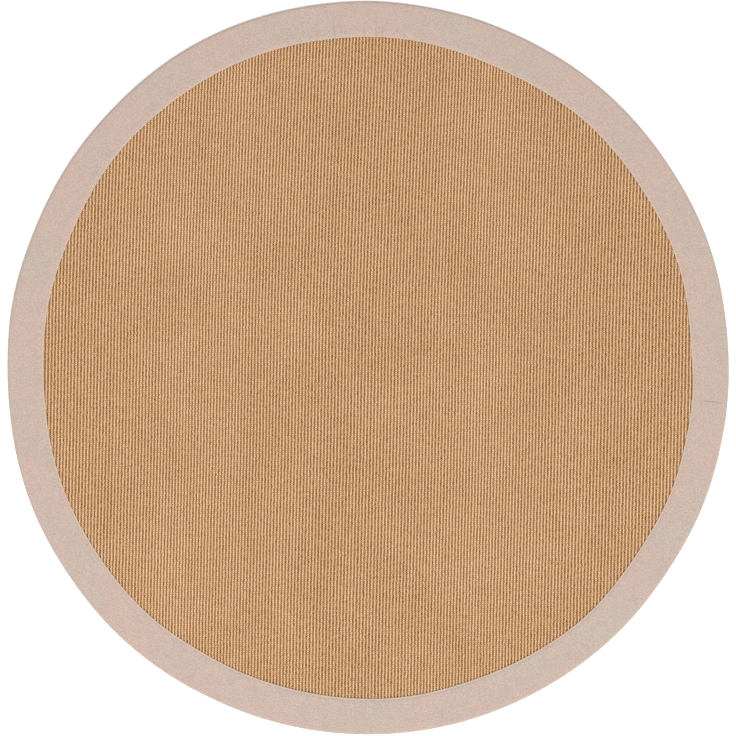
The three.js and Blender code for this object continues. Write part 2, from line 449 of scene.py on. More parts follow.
# Latex-coated back: a thin matt buff skin over the ground weave, which just shows through.
LATEX = linear("#C9B08C")
LATEX_DARK = linear("#AE9270")
latex, tree = new_material("latex_coated_back")
place = add(tree, "ShaderNodeTexCoord", out=3)
check = add(
    tree,
    "ShaderNodeMapping",
    {"Vector": place, "Scale": (1 / (RIB_PITCH * MM), 1 / (LOOP_PITCH * MM), 0)},
)
weave_back = add(tree, "ShaderNodeTexNoise", {"Vector": check, "Scale": 1.0, "Detail": 3.0})
colour = add(
    tree,
    "ShaderNodeMix",
    {"Factor": weave_back, "A": LATEX_DARK, "B": LATEX},
    out=2,
    data_type="RGBA",
)
bump = add(tree, "ShaderNodeBump", {"Height": weave_back, "Strength": 0.6, "Distance": 0.5 * MM})
surface = add(
    tree,
    "ShaderNodeBsdfPrincipled",
    {"Base Color": colour, "Roughness": 0.6, "Normal": bump},
)
add(tree, "ShaderNodeOutputMaterial", {"Surface": surface})


def named_input(tree, name, kind):
    """An input of a Geometry Nodes tree."""
    return tree.interface.new_socket(name, in_out="INPUT", socket_type="NodeSocket" + kind)


# The ground cloth bulges a little under each row of loops.
ribber = bpy.data.node_groups.new("raise_ribs", "GeometryNodeTree")
named_input(ribber, "Cloth", "Geometry")
rise_in = named_input(ribber, "Rise", "Float")
uneven_in = named_input(ribber, "Unevenness", "Float")
round_in = named_input(ribber, "Roundness", "Float")
ribber.interface.new_socket("Cloth", in_out="OUTPUT", socket_type="NodeSocketGeometry")
start = ribber.nodes.new("NodeGroupInput")
rib_named = add(ribber, "GeometryNodeInputNamedAttribute", {"Name": "rib"}, data_type="FLOAT")
along_named = add(ribber, "GeometryNodeInputNamedAttribute", {"Name": "along"}, data_type="FLOAT")
lift_named = add(ribber, "GeometryNodeInputNamedAttribute", {"Name": "lift"}, data_type="FLOAT")
turn = add(ribber, "ShaderNodeMath", {0: rib_named, 1: math.pi}, operation="MULTIPLY")
sine = add(ribber, "ShaderNodeMath", {0: turn}, operation="SINE")
arch = add(ribber, "ShaderNodeMath", {0: sine}, operation="ABSOLUTE")
arch = add(ribber, "ShaderNodeMath", {0: arch, 1: start.outputs["Roundness"]}, operation="POWER")
rib_count = add(ribber, "ShaderNodeMath", {0: rib_named}, operation="FLOOR")
slow = add(ribber, "ShaderNodeMath", {0: along_named, 1: GROUND_DRIFT}, operation="MULTIPLY")
where = add(ribber, "ShaderNodeCombineXYZ", {0: rib_count, 1: slow})
chance = add(ribber, "ShaderNodeTexNoise", {"Vector": where, "Scale": 0.8, "Detail": 2.0})
less = add(
    ribber, "ShaderNodeMath", {0: chance, 1: start.outputs["Unevenness"]}, operation="MULTIPLY"
)
keep = add(ribber, "ShaderNodeMath", {0: 1.0, 1: less}, operation="SUBTRACT")
rise = add(ribber, "ShaderNodeMath", {0: arch, 1: start.outputs["Rise"]}, operation="MULTIPLY")
rise = add(ribber, "ShaderNodeMath", {0: rise, 1: keep}, operation="MULTIPLY")
rise = add(ribber, "ShaderNodeMath", {0: rise, 1: lift_named}, operation="MULTIPLY")
up = add(ribber, "ShaderNodeCombineXYZ", {2: rise})
raised = add(
    ribber, "GeometryNodeSetPosition", {"Geometry": start.outputs["Cloth"], "Offset": up}
)
normal_up = add(ribber, "GeometryNodeInputNormal")
facing = ribber.nodes.new("ShaderNodeSeparateXYZ")
ribber.links.new(normal_up, facing.inputs[0])
is_back = add(
    ribber, "FunctionNodeCompare", {0: facing.outputs[2], 1: -0.5}, operation="LESS_THAN"
)
real = add(ribber, "GeometryNodeRealizeInstances", {"Geometry": raised})
faced = add(ribber, "GeometryNodeSetMaterial", {"Geometry": real, "Material": ground})
backed = add(
    ribber,
    "GeometryNodeSetMaterial",
    {"Geometry": faced, "Selection": is_back, "Material": latex},
)
add(ribber, "NodeGroupOutput", {"Cloth": backed})


def applied(piece, tree, values, name):
    """Runs a node tree on a piece with these inputs, and leaves the result as its plain mesh."""
    modifier = piece.modifiers.new(name, "NODES")
    modifier.node_group = tree
    for socket, value in values:
        modifier[socket.identifier] = value
    depsgraph = bpy.context.evaluated_depsgraph_get()
    mesh = bpy.data.meshes.new_from_object(piece.evaluated_get(depsgraph))
    piece.modifiers.clear()
    piece.data = mesh
    mesh.name = name
    return piece


applied(
    panel,
    ribber,
    [(rise_in, GROUND_RISE * MM), (uneven_in, GROUND_UNEVENNESS), (round_in, GROUND_ROUNDNESS)],
    "ground_cloth",
)
panel.data.set_sharp_from_angle(angle=math.radians(60))
set_bake_uv(panel.data)
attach(panel, "root")
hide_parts("sisal_panel")


# The loops, one at each crossing of a rib and a row. A loop is a short thick arch of yarn that
# leans across its rib, so a rib looks like a cord. It is drawn as a seed: eight corners at its foot
# and a ridge of two. Those at the edge run on under the tape.
LOOP_WIDTH = 7.0  # mm
LOOP_LENGTH = 7.0  # mm
LOOP_SUNK = 0.6  # mm that its foot stands in the ground cloth
LOOP_SLANT = 17.0  # degrees from its rib, towards +X
UNDER_TAPE = 8.0  # mm that the loops go on under the tape
SMALLEST_LOOP = (0.93, 0.92, 0.88)  # shares of the width, length and height
LARGEST_LOOP = (1.06, 1.06, 1.0)
TURN_SPREAD = 10.0  # degrees by which the slant differs from loop to loop
SHIFT_ACROSS = 0.14  # mm that a loop usually stands off its place, across and along its rib
SHIFT_ALONG = 0.18
BAND = 182.0  # mm from the X axis to where one band of loops ends and the next begins
RIDGE_HALF = 0.24  # the ridge's reach to each side, as a share of the length
foot_turns = np.radians(22.5 + 45 * np.arange(8))
seed_points = [(math.cos(turn) / 2, math.sin(turn) / 2, 0) for turn in foot_turns]
seed_points += [(0, RIDGE_HALF, 1), (0, -RIDGE_HALF, 1)]
seed_faces = [(0, 1, 8), (1, 2, 8), (2, 3, 8), (3, 4, 9, 8)]
seed_faces += [(4, 5, 9), (5, 6, 9), (6, 7, 9), (7, 0, 8, 9), (7, 6, 5, 4, 3, 2, 1, 0)]
seed_mesh = bpy.data.meshes.new("one_loop")
seed_mesh.from_pydata(seed_points, [], seed_faces)
seed_mesh.shade_smooth()
one_loop = placed("one_loop", seed_mesh)

looper = bpy.data.node_groups.new("stand_loops", "GeometryNodeTree")
named_input(looper, "Points", "Geometry")
loop_in = named_input(looper, "Loop", "Object")
width_in = named_input(looper, "Width", "Float")
long_in = named_input(looper, "Length", "Float")
high_in = named_input(looper, "Height", "Float")
looper.interface.new_socket("Loops", in_out="OUTPUT", socket_type="NodeSocketGeometry")
start = looper.nodes.new("NodeGroupInput")
shape = add(looper, "GeometryNodeObjectInfo", {"Object": start.outputs["Loop"]}, out="Geometry")
sizes = looper.nodes.new("FunctionNodeRandomValue")
sizes.data_type = "FLOAT_VECTOR"
sizes.inputs[0].default_value = SMALLEST_LOOP
sizes.inputs[1].default_value = LARGEST_LOOP
sizes.inputs["Seed"].default_value = 3
turn_named = add(looper, "GeometryNodeInputNamedAttribute", {"Name": "turn"}, data_type="FLOAT")
loop_size = add(
    looper,
    "ShaderNodeCombineXYZ",
    {0: start.outputs["Width"], 1: start.outputs["Length"], 2: start.outputs["Height"]},
)
loop_size = add(
    looper, "ShaderNodeVectorMath", {0: loop_size, 1: sizes.outputs[0]}, operation="MULTIPLY"
)
loop_turn = add(looper, "ShaderNodeCombineXYZ", {2: turn_named})
stood = add(
    looper,
    "GeometryNodeInstanceOnPoints",
    {
        "Points": start.outputs["Points"],
        "Instance": shape,
        "Rotation": loop_turn,
        "Scale": loop_size,
    },
)
real = add(looper, "GeometryNodeRealizeInstances", {"Geometry": stood})
finished = add(looper, "GeometryNodeSetMaterial", {"Geometry": real, "Material": sisal})
add(looper, "NodeGroupOutput", {"Loops": finished})

rng = np.random.default_rng(7)
# The ribs stray a little from side to side. Neighbours do so together, some slowly along their
# length and some from row to row.
STRAYS = [
    dict(aside=0.08, ribs=5, rows=7),
    dict(aside=0.17, ribs=9, rows=1),
]  # mm, and over how many ribs and rows each is blended
SPARE_ROWS = 20  # past the last row on the Y axis, because the rows climb
first_row, last_row = np.floor(row_at(0, np.array([-RUG_LENGTH, RUG_LENGTH]) / 2)).astype(int)
aside = np.zeros((last_rib - first_rib, last_row - first_row + SPARE_ROWS))
for layer in STRAYS:
    stray = rng.normal(0, layer["aside"], aside.shape)
    for axis, wide in enumerate((layer["ribs"], layer["rows"])):
        blend = np.hanning(wide + 2)[1:-1]
        blend /= np.linalg.norm(blend)
        stray = np.apply_along_axis(np.convolve, axis, stray, blend, "same")
    aside += stray
loop_rows = []
for rib in range(first_rib, last_rib):
    rib_x = rib_place(rib + 0.5)
    low_y, high_y = rib_ends(rib_x, BORDER - UNDER_TAPE)
    if high_y - low_y < LOOP_PITCH:
        continue
    rows = np.arange(math.ceil(row_at(rib_x, low_y)), math.floor(row_at(rib_x, high_y))) + 0.5
    loop_y = np.interp(rows, rows_passed, y_steps) + ROW_SLOPE * rib_x
    loop_x = strayed(rib_x, loop_y)
    loop_y += ROW_SLOPE * (loop_x - rib_x)
    lean = np.interp(loop_y, column_of(ALONG, "y"), column_of(ALONG, "lean"))
    chance = rng.uniform(0, 1, (rows.size, 2))
    rib_chance = np.full(rows.size, rng.uniform())
    loop_x += aside[rib - first_rib, np.floor(rows).astype(int) - first_row]
    loop_rows.append(np.column_stack([loop_x, loop_y, lean, rib_chance, chance]))
loops = np.concatenate(loop_rows)
loops[:, 0] += rng.normal(0, SHIFT_ACROSS, len(loops))
loops[:, 1] += rng.normal(0, SHIFT_ALONG, len(loops))
# One piece for each of three bands to the left of the Y axis and three to the right.
region = 3 * (loops[:, 0] > 0) + np.digitize(loops[:, 1], [-BAND, BAND])
for number in range(1, 7):
    share = region == number - 1
    part = loops[share]
    spots = bpy.data.meshes.new("loop_spots")
    spot_points = np.column_stack([part[:, :2], np.full(len(part), VALLEY - LOOP_SUNK)]) * MM
    spots.from_pydata(spot_points.tolist(), [], [])
    slant = part[:, 2] + LOOP_SLANT + TURN_SPREAD * (part[:, 5] - 0.5)
    set_values(spots, "turn", -np.radians(slant))
    set_values(spots, "rib_chance", part[:, 3])
    set_values(spots, "chance", part[:, 4])
    piece = placed(f"sisal_loops_{number}", spots)
    applied(
        piece,
        looper,
        [
            (loop_in, one_loop),
            (width_in, LOOP_WIDTH * MM),
            (long_in, LOOP_LENGTH * MM),
            (high_in, (RIB_RISE + LOOP_SUNK) * MM),
        ],
        "loops",
    )
    set_bake_uv(piece.data)
    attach(piece, "root")
bpy.data.objects.remove(one_loop)


# The cotton binding
# One strip of plain woven cotton tape. Its inner edge is turned under and sewn down on the face,
# the strip folds round the panel's cut edge, and its raw edge is glued underneath. Its two ends
# meet at one place.

HEM_WIDTH = 12.0  # mm turned under
HEM_FADE = 26.0  # mm from the inner edge to where the tape lies flat
LIE = PANEL_THICKNESS + CLEARANCE  # the tape's lower face above the ribs
TOP = LIE + TAPE
PRESSED_WIDTH = 3.5  # mm in from the cut edge that the fold presses down
INNER_ROUNDING = 0.8  # mm along both sides of a corner of the fold, inside and outside
OUTER_ROUNDING = 1.8
JOIN_BEARING = -5.6  # degrees
JOIN_SLIT = 0.4  # mm
STATIONS = 720

# The panel's edge as the tape meets it: depth inside the tape's outer edge, and height, in mm.
PANEL_EDGE = np.array(
    [
        (BORDER, PANEL_THICKNESS),
        (SEAT + PRESSED_WIDTH, PANEL_THICKNESS),
        (SEAT, VALLEY),
        (SEAT, SEAT),
        (UNDER_WIDTH, SEAT),
    ]
)


def moved_out(path, distance):
    """The path moved off the panel, with sharp corners."""
    run = np.diff(path, axis=0)
    run /= np.linalg.norm(run, axis=1)[:, None]
    sides = np.stack([run[:, 1], -run[:, 0]], axis=1)
    before = np.concatenate([sides[:1], sides])
    after = np.concatenate([sides, sides[-1:]])
    mitre = distance / (1 + (before * after).sum(axis=1))
    return path + (before + after) * mitre[:, None]


def rounded(path, reach, steps):
    """The path with each corner made a curve that reaches a given length along both its sides."""
    made = [path[0]]
    for before, corner, after in zip(path, path[1:], path[2:]):
        start = corner + (before - corner) * reach / np.linalg.norm(before - corner)
        end = corner + (after - corner) * reach / np.linalg.norm(after - corner)
        for t in np.linspace(0, 1, steps):
            made.append((1 - t) ** 2 * start + 2 * t * (1 - t) * corner + t**2 * end)
    made.append(path[-1])
    return np.array(made)


# The hem's outside, from the flat of the tape over its low ridge, down to the sewing and round the
# inner edge. The sewing draws that edge down onto the loops.
HEM = [
    dict(inside=HEM_FADE, up=0),
    dict(inside=20, up=0.12),
    dict(inside=15.5, up=0.36),
    dict(inside=HEM_WIDTH, up=0.5),
    dict(inside=9, up=0.5),
    dict(inside=7, up=0.44),
    dict(inside=5.8, up=0.27),
    dict(inside=4.8, up=0.0),
    dict(inside=3.8, up=-0.32),
    dict(inside=2.9, up=-0.53),
    dict(inside=2, up=-0.58),
    dict(inside=1.2, up=-0.55),
    dict(inside=0.5, up=-0.54),
    dict(inside=0, up=-0.58),
    dict(inside=-0.35, up=-0.7),
    dict(inside=-0.45, up=-0.85),
    dict(inside=0, up=-TAPE),
]  # mm inside the inner edge, and mm above the tape's flat face
tape_inside = rounded(moved_out(PANEL_EDGE, CLEARANCE), INNER_ROUNDING, 3)
tape_outside = rounded(moved_out(PANEL_EDGE, SEAT), OUTER_ROUNDING, 4)[::-1]
flat_depths = np.arange(12, BORDER - HEM_FADE - 4, 7.0)  # mm, between the fold and the hem
section = np.concatenate(
    [
        tape_inside[1:],
        tape_outside[:-1],
        np.stack([flat_depths, np.full(flat_depths.size, TOP)], axis=1),
        np.stack([BORDER - column_of(HEM, "inside"), TOP + column_of(HEM, "up")], axis=1),
    ]
)

# The two ends of the tape are pulled together at the hem and the fold, and gape a little between.
JOIN_GAPS = [
    dict(depth=0, gap=0.12),
    dict(depth=16, gap=0.2),
    dict(depth=26, gap=0.5),
    dict(depth=46, gap=0.55),
    dict(depth=56, gap=0.12),
    dict(depth=80, gap=0.1),
]  # mm inside the outer edge, and mm
JOIN_CLOSING = 3.0  # mm from the slit over which an end is pulled to it or gapes
JOIN_STEP = 1.6  # mm that the end below reaches further in than the one above
JOIN_STEP_REACH = 3.0  # degrees from the slit to where it doesn't
JOIN_STEP_DEEP = 20.0  # mm from the inner edge to where it doesn't

# A few narrow tucks at the far side of the rug, where the tape had more cloth to spare.
TUCKS = [
    dict(bearing=85.6, deep=0.45, long=30),
    dict(bearing=87.6, deep=0.6, long=40),
    dict(bearing=88.6, deep=0.75, long=62),
    dict(bearing=90.6, deep=0.85, long=54),
    dict(bearing=94.5, deep=0.6, long=42),
    dict(bearing=95.7, deep=0.75, long=66),
    dict(bearing=98.7, deep=0.6, long=46),
    dict(bearing=100.0, deep=0.45, long=30),
    dict(bearing=101.6, deep=0.5, long=40),
    dict(bearing=103.7, deep=0.5, long=34),
]  # degrees, and mm
TUCK_HALF = 1.2  # mm, about half the width of a tuck

# Stations round the rug. They are closer together at the join, where the ends of the tape are
# turned in, and at each tuck.
slit_turn = math.degrees(JOIN_SLIT / 2 / (RUG_WIDTH / 2 - BORDER / 2))
near = slit_turn * np.array([1, 1.8, 3, 5, 8, 13])
even = np.linspace(near[-1], 360 - near[-1], STATIONS)
across_tuck = np.degrees(TUCK_HALF * np.array([-2, -1, 0, 1, 2]) / (RUG_LENGTH / 2 - BORDER))
at_tucks = (column_of(TUCKS, "bearing")[:, None] - JOIN_BEARING + across_tuck).ravel()
even = even[np.abs(even[:, None] - at_tucks).min(axis=1) > across_tuck[-2]]
from_join = np.sort(np.concatenate([near, even[1:-1], at_tucks, 360 - near]))
bearing = JOIN_BEARING + from_join
depth = np.broadcast_to(section[:, 0], (bearing.size, len(section)))
from_end = np.radians(np.minimum(from_join, 360 - from_join))[:, None] * RUG_WIDTH / 2
from_slit = from_end - JOIN_SLIT / 2
gap = np.interp(depth, column_of(JOIN_GAPS, "depth"), column_of(JOIN_GAPS, "gap"))
closing = gap - JOIN_SLIT
closing *= np.clip(1 - from_slit / JOIN_CLOSING, 0, 1) * np.sign(180 - from_join)[:, None] / 2
below = np.clip(1 - (360 - from_join)[:, None] / JOIN_STEP_REACH, 0, 1) ** 2
drawn_in = JOIN_STEP * below * np.clip(1 - (BORDER - depth) / JOIN_STEP_DEEP, 0, 1)
turned = bearing[:, None] + np.degrees(closing / (RUG_WIDTH / 2))
tape_x, tape_y = on_rug(turned, depth + drawn_in)
tape_z = np.broadcast_to(section[:, 1], depth.shape).copy()

# The tape is straight, so on the round it has cloth to spare at its inner edge. The sewing takes it
# up in short shallow gathers that fade out across the tape, and in the tucks.
GATHER_SPACING = 15.0  # mm
GATHER_DEPTH = 0.45  # mm
BEND_OVER = 40.0  # mm from the inner edge over which a gather turns aside
FACE_FROM = 8.0  # mm inside the outer edge, where the face begins
rng = np.random.default_rng(11)
inner_length = 2 * math.pi * (RUG_LENGTH / 2 - BORDER)
gathers = int(inner_length / GATHER_SPACING)
gather_at = (np.arange(gathers) + rng.uniform(-0.35, 0.35, gathers)) * 360 / gathers
gather_deep = GATHER_DEPTH * rng.uniform(0.2, 1, gathers)
gather_wide = rng.uniform(2.5, 4.5, gathers)  # mm
gather_long = rng.uniform(14, 38, gathers)  # mm
gather_bend = rng.uniform(-0.25, 0.25, gathers)  # degrees
folds = list(zip(gather_at, gather_deep, gather_wide, gather_long, gather_bend, [0] * gathers))
folds += [(row["bearing"], row["deep"], TUCK_HALF, row["long"], 0, 1) for row in TUCKS]
from_hem = BORDER - depth
face_floor = LIE + 0.2  # no fold goes below this
on_face = (tape_z >= face_floor) & (depth > FACE_FROM)
drop = np.zeros(depth.shape)
# Painted shade: how far into a tuck each point lies also darkens the cloth there.
tuck_shade_depth = np.zeros(depth.shape)  # how far into a tuck each point lies, from 0 to 1
for at, deep, wide, long, bend, gets_tuck_shade in folds:
    away = (bearing[:, None] - at - bend * from_hem / BEND_OVER + 180) % 360 - 180
    away = np.radians(away) * inner_length / 2 / math.pi
    fade = np.clip(1 - from_hem / long, 0, 1) ** 1.5
    fold = deep * np.exp(-((away / wide) ** 2)) * fade
    drop += fold
    tuck_shade_depth += gets_tuck_shade * fold
tuck_shade_depth = np.where(on_face, np.minimum(tuck_shade_depth, 1), 0)
tape_z = np.where(on_face, np.maximum(tape_z - drop, face_floor), tape_z)

# The ends of the tape are turned in, so their upper edges are round. At the hem they stand up a
# little instead, because there the tape is thicker.
TURN_IN_REACH = 1.6  # mm along the tape
TURN_IN = [
    dict(depth=50, down=0.5),
    dict(depth=58, down=-0.12),
]  # mm inside the outer edge, and mm
turn_in = np.clip(1 - from_slit / TURN_IN_REACH, 0, 1) ** 2
sunk = np.interp(depth, column_of(TURN_IN, "depth"), column_of(TURN_IN, "down"))
tape_z -= np.where(on_face, turn_in * sunk, 0)

rings = bearing.size
around_section = len(section)
tape_grid = np.arange(rings * around_section).reshape(rings, around_section)
next_point = np.roll(tape_grid, -1, axis=1)
wall_faces = np.stack(
    [tape_grid[:-1], tape_grid[1:], next_point[1:], next_point[:-1]], axis=-1
).reshape(-1, 4)
end_faces = [tape_grid[0].tolist(), tape_grid[-1, ::-1].tolist()]
tape_mesh = mesh_of(
    "cotton_tape",
    np.stack([tape_x.ravel(), tape_y.ravel(), tape_z.ravel()], axis=1),
    [wall_faces, end_faces[:1], end_faces[1:]],
)
set_values(tape_mesh, "tuck_shade_depth", tuck_shade_depth)
closed = np.concatenate([section, section[:1]])
run = np.concatenate([[0], np.cumsum(np.linalg.norm(np.diff(closed, axis=0), axis=1))])
along = np.radians(from_join) * RUG_WIDTH / 2


def wall_corners(at_station, at_section):
    """The pairs of the wall faces' corners, from a value for each station and section point."""
    a, b = np.meshgrid(at_station, at_section, indexing="ij")
    pair = np.stack([a, b], axis=-1)
    return np.stack([pair[:-1, :-1], pair[1:, :-1], pair[1:, 1:], pair[:-1, 1:]], axis=2)


ends_flat = np.concatenate([section, section[::-1]])
tape_uv = np.concatenate([wall_corners(along, run).reshape(-1, 2), ends_flat])
set_uv(tape_mesh, "tape", tape_uv * MM)

# For a bake the strip is laid in rows, one above the other, with its two small ends beside them.
STRIPS = 6
END_SCALE = 0.0005
station = np.arange(rings - 1) * STRIPS / (rings - 1)
strip = np.floor(station)[:, None, None]
bake = wall_corners(np.arange(rings) * STRIPS / (rings - 1), run / run[-1])
bake_u = 0.95 * (bake[..., 0] - strip)
bake_v = (strip + 0.01 + 0.96 * bake[..., 1]) / STRIPS
ends_small = np.concatenate(
    [(0.96, 0) + section * END_SCALE, (0.96, 0.5) + section[::-1] * END_SCALE]
)
bake_uv = np.concatenate([np.stack([bake_u, bake_v], axis=-1).reshape(-1, 2), ends_small])
set_uv(tape_mesh, "OFBake", bake_uv)
tape_mesh.set_sharp_from_angle(angle=math.radians(50))
binding = placed("cotton_tape_binding", tape_mesh)

# Plain woven cotton in heather beige: matt, its threads unevenly dyed, with soft blotches from
# pinkish to a faint green-beige. Its real threads are 0.5 mm apart, finer than a pixel of the
# photo, so the weave is drawn at 1.4 mm.
COTTON_PINK = linear("#D0B4A9")
COTTON_BEIGE = linear("#C5B8A9")
COTTON_SHADE = linear("#A9978B")
THREAD_SPACING = 1.4  # mm
BLOTCH = 150.0  # mm
BLOTCH_TURN = -120.0  # degrees
MOTTLE = 22.0  # mm
GRAIN = 2.8  # mm
# The next is painted shade along the tucks' folds.
CREASE_SHADE = 0.85  # how much darker the bottom of a tuck is
cotton, tree = new_material("plain_woven_cotton")
place = add(tree, "ShaderNodeTexCoord", out=3)
blotch_place = add(
    tree, "ShaderNodeMapping", {"Vector": place, "Rotation": (0, 0, math.radians(BLOTCH_TURN))}
)
blotch = add(
    tree,
    "ShaderNodeTexNoise",
    {"Vector": blotch_place, "Scale": 1 / (BLOTCH * MM), "Detail": 7.0, "Roughness": 0.7},
)
blotch = add(
    tree, "ShaderNodeMapRange", {"Value": blotch, "From Min": 0.35, "From Max": 0.65}
)
colour = add(
    tree,
    "ShaderNodeMix",
    {"Factor": blotch, "A": COTTON_PINK, "B": COTTON_BEIGE},
    out=2,
    data_type="RGBA",
)
tape_place = add(tree, "ShaderNodeUVMap", uv_map="tape")
threads_at = add(
    tree,
    "ShaderNodeMapping",
    {"Vector": tape_place, "Scale": (math.pi / (THREAD_SPACING * MM),) * 3},
)
threads_split = tree.nodes.new("ShaderNodeSeparateXYZ")
tree.links.new(threads_at, threads_split.inputs[0])
warp = add(tree, "ShaderNodeMath", {0: threads_split.outputs[0]}, operation="SINE")
weft = add(tree, "ShaderNodeMath", {0: threads_split.outputs[1]}, operation="SINE")
over = add(tree, "ShaderNodeMath", {0: warp, 1: weft}, operation="MULTIPLY")
crossing = add(
    tree,
    "ShaderNodeVectorMath",
    {0: tape_place, "Scale": 1 / (THREAD_SPACING * MM)},
    operation="SCALE",
)
crossing = add(tree, "ShaderNodeVectorMath", {0: crossing}, operation="FLOOR")
crossing_chance = add(tree, "ShaderNodeTexWhiteNoise", {"Vector": crossing}, noise_dimensions="2D")
crossing_chance = add(tree, "ShaderNodeMath", {0: crossing_chance, 1: 0.5}, operation="SUBTRACT")
roundness = add(tree, "ShaderNodeMath", {0: over}, operation="ABSOLUTE")
heather = add(tree, "ShaderNodeMath", {0: crossing_chance, 1: roundness}, operation="MULTIPLY")
grain = add(
    tree, "ShaderNodeTexNoise", {"Vector": place, "Scale": 1 / (GRAIN * MM), "Detail": 1.0}
)
mottle = add(
    tree, "ShaderNodeTexNoise", {"Vector": place, "Scale": 1 / (MOTTLE * MM), "Detail": 2.0}
)
grain = add(tree, "ShaderNodeMath", {0: mottle, 1: 0.2, 2: grain}, operation="MULTIPLY_ADD")
shade = add(
    tree,
    "ShaderNodeMapRange",
    {"Value": grain, "From Min": 0.44, "From Max": 0.76, "To Min": 0.62, "To Max": 0.1},
)
shade = add(tree, "ShaderNodeMath", {0: heather, 1: 0.9, 2: shade}, operation="MULTIPLY_ADD")
shade = add(tree, "ShaderNodeMath", {0: over, 1: 0.12, 2: shade}, operation="MULTIPLY_ADD")
# Painted shade: the cloth is drawn a little darker along the tucks' folds, where shade falls in
# them.
tuck_shade_input = add(tree, "ShaderNodeAttribute", out=2, attribute_name="tuck_shade_depth")
shade = add(
    tree, "ShaderNodeMath", {0: tuck_shade_input, 1: CREASE_SHADE, 2: shade}, operation="MULTIPLY_ADD"
)
weave_relief = add(tree, "ShaderNodeMath", {0: over, 1: 0.5, 2: grain}, operation="MULTIPLY_ADD")
colour = add(
    tree,
    "ShaderNodeMix",
    {"Factor": shade, "A": colour, "B": COTTON_SHADE},
    out=2,
    data_type="RGBA",
)
bump = add(tree, "ShaderNodeBump", {"Height": weave_relief, "Strength": 0.5, "Distance": 0.3 * MM})
surface = add(
    tree,
    "ShaderNodeBsdfPrincipled",
    {"Base Color": colour, "Roughness": 0.9, "Specular IOR Level": 0.2, "Normal": bump},
)
add(tree, "ShaderNodeOutputMaterial", {"Surface": surface})
tape_mesh.materials.append(cotton)
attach(binding, "root")
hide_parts("cotton_binding")


# The sewing
# A row of lockstitches in tan polyester-cotton thread holds the turned-under edge to the panel. It
# runs all round, close to the inner edge. Each stitch is a short arch of thread on the tape's face.

STITCH_PITCH = 4.0  # mm
STITCH_LENGTH = 3.6  # mm
THREAD = 0.9  # mm thick
STITCH_IN = 1.6  # mm from the tape's inner edge
STITCH_SUNK = 0.1  # mm into the tape
STITCH_CROWN = 1.1  # how high a stitch's arch is pulled and how deep its ends go, in thicknesses
STITCH_FOOT = 0.4
SMALLEST_STITCH, LARGEST_STITCH = 0.88, 1.06  # shares of that size
path_bearing = np.linspace(0, 360, STATIONS, endpoint=False)
path_x, path_y = on_rug(path_bearing, BORDER - STITCH_IN)
hem_top = HEM[:-2]
stitch_up = np.interp(-STITCH_IN, -column_of(hem_top, "inside"), column_of(hem_top, "up"))
stitch_height = TOP + stitch_up - STITCH_SUNK
path_points = np.stack([path_x, path_y, np.full(path_x.size, stitch_height)], axis=1)
path_mesh = bpy.data.meshes.new("stitch_line")
path_order = np.arange(path_bearing.size)
path_edges = np.stack([path_order, np.roll(path_order, -1)], axis=1)
path_mesh.from_pydata((path_points * MM).tolist(), path_edges.tolist(), [])
sewing = placed("edge_stitching", path_mesh)

# Polyester-cotton sewing thread, a pale tan near the sisal's and softly glossy.
THREAD_TAN = linear("#FADFB8")
THREAD_SHADE = linear("#E8C79E")
thread_finish, tree = new_material("polyester_cotton_thread")
place = add(tree, "ShaderNodeTexCoord", out=3)
twist = add(tree, "ShaderNodeTexNoise", {"Vector": place, "Scale": 1 / (0.8 * MM), "Detail": 1.0})
colour = add(
    tree,
    "ShaderNodeMix",
    {"Factor": twist, "A": THREAD_SHADE, "B": THREAD_TAN},
    out=2,
    data_type="RGBA",
)
surface = add(tree, "ShaderNodeBsdfPrincipled", {"Base Color": colour, "Roughness": 0.6})
add(tree, "ShaderNodeOutputMaterial", {"Surface": surface})

sewer = bpy.data.node_groups.new("sew_line", "GeometryNodeTree")
named_input(sewer, "Line", "Geometry")
pitch_in = named_input(sewer, "Pitch", "Float")
length_in = named_input(sewer, "Length", "Float")
thread_in = named_input(sewer, "Thread", "Float")
sewer.interface.new_socket("Stitches", in_out="OUTPUT", socket_type="NodeSocketGeometry")
start = sewer.nodes.new("NodeGroupInput")
line = add(sewer, "GeometryNodeMeshToCurve", {"Mesh": start.outputs["Line"]})
resampler = sewer.nodes.new("GeometryNodeResampleCurve")
resampler.mode = "LENGTH"
sewer.links.new(line, resampler.inputs["Curve"])
sewer.links.new(start.outputs["Pitch"], resampler.inputs["Length"])
half_length = add(
    sewer, "ShaderNodeMath", {0: start.outputs["Length"], 1: 0.5}, operation="MULTIPLY"
)
half_back = add(sewer, "ShaderNodeMath", {0: half_length, 1: -1.0}, operation="MULTIPLY")
thickness = start.outputs["Thread"]
arch_up = add(sewer, "ShaderNodeMath", {0: thickness, 1: STITCH_CROWN}, operation="MULTIPLY")
arch_down = add(sewer, "ShaderNodeMath", {0: thickness, 1: -STITCH_FOOT}, operation="MULTIPLY")
one_end = add(sewer, "ShaderNodeCombineXYZ", {0: half_back, 2: arch_down})
other_end = add(sewer, "ShaderNodeCombineXYZ", {0: half_length, 2: arch_down})
crown = add(sewer, "ShaderNodeCombineXYZ", {2: arch_up})
arc = add(
    sewer,
    "GeometryNodeCurveQuadraticBezier",
    {"Resolution": 3, "Start": one_end, "Middle": crown, "End": other_end},
)
thread_half = add(sewer, "ShaderNodeMath", {0: thickness, 1: 0.5}, operation="MULTIPLY")
ring = add(
    sewer,
    "GeometryNodeCurvePrimitiveCircle",
    {"Resolution": 5, "Radius": thread_half},
    mode="RADIUS",
)
stitch = add(
    sewer, "GeometryNodeCurveToMesh", {"Curve": arc, "Profile Curve": ring, "Fill Caps": True}
)
tangent = add(sewer, "GeometryNodeInputTangent")
turned = add(
    sewer, "FunctionNodeAlignRotationToVector", {"Vector": tangent}, axis="X", pivot_axis="Z"
)
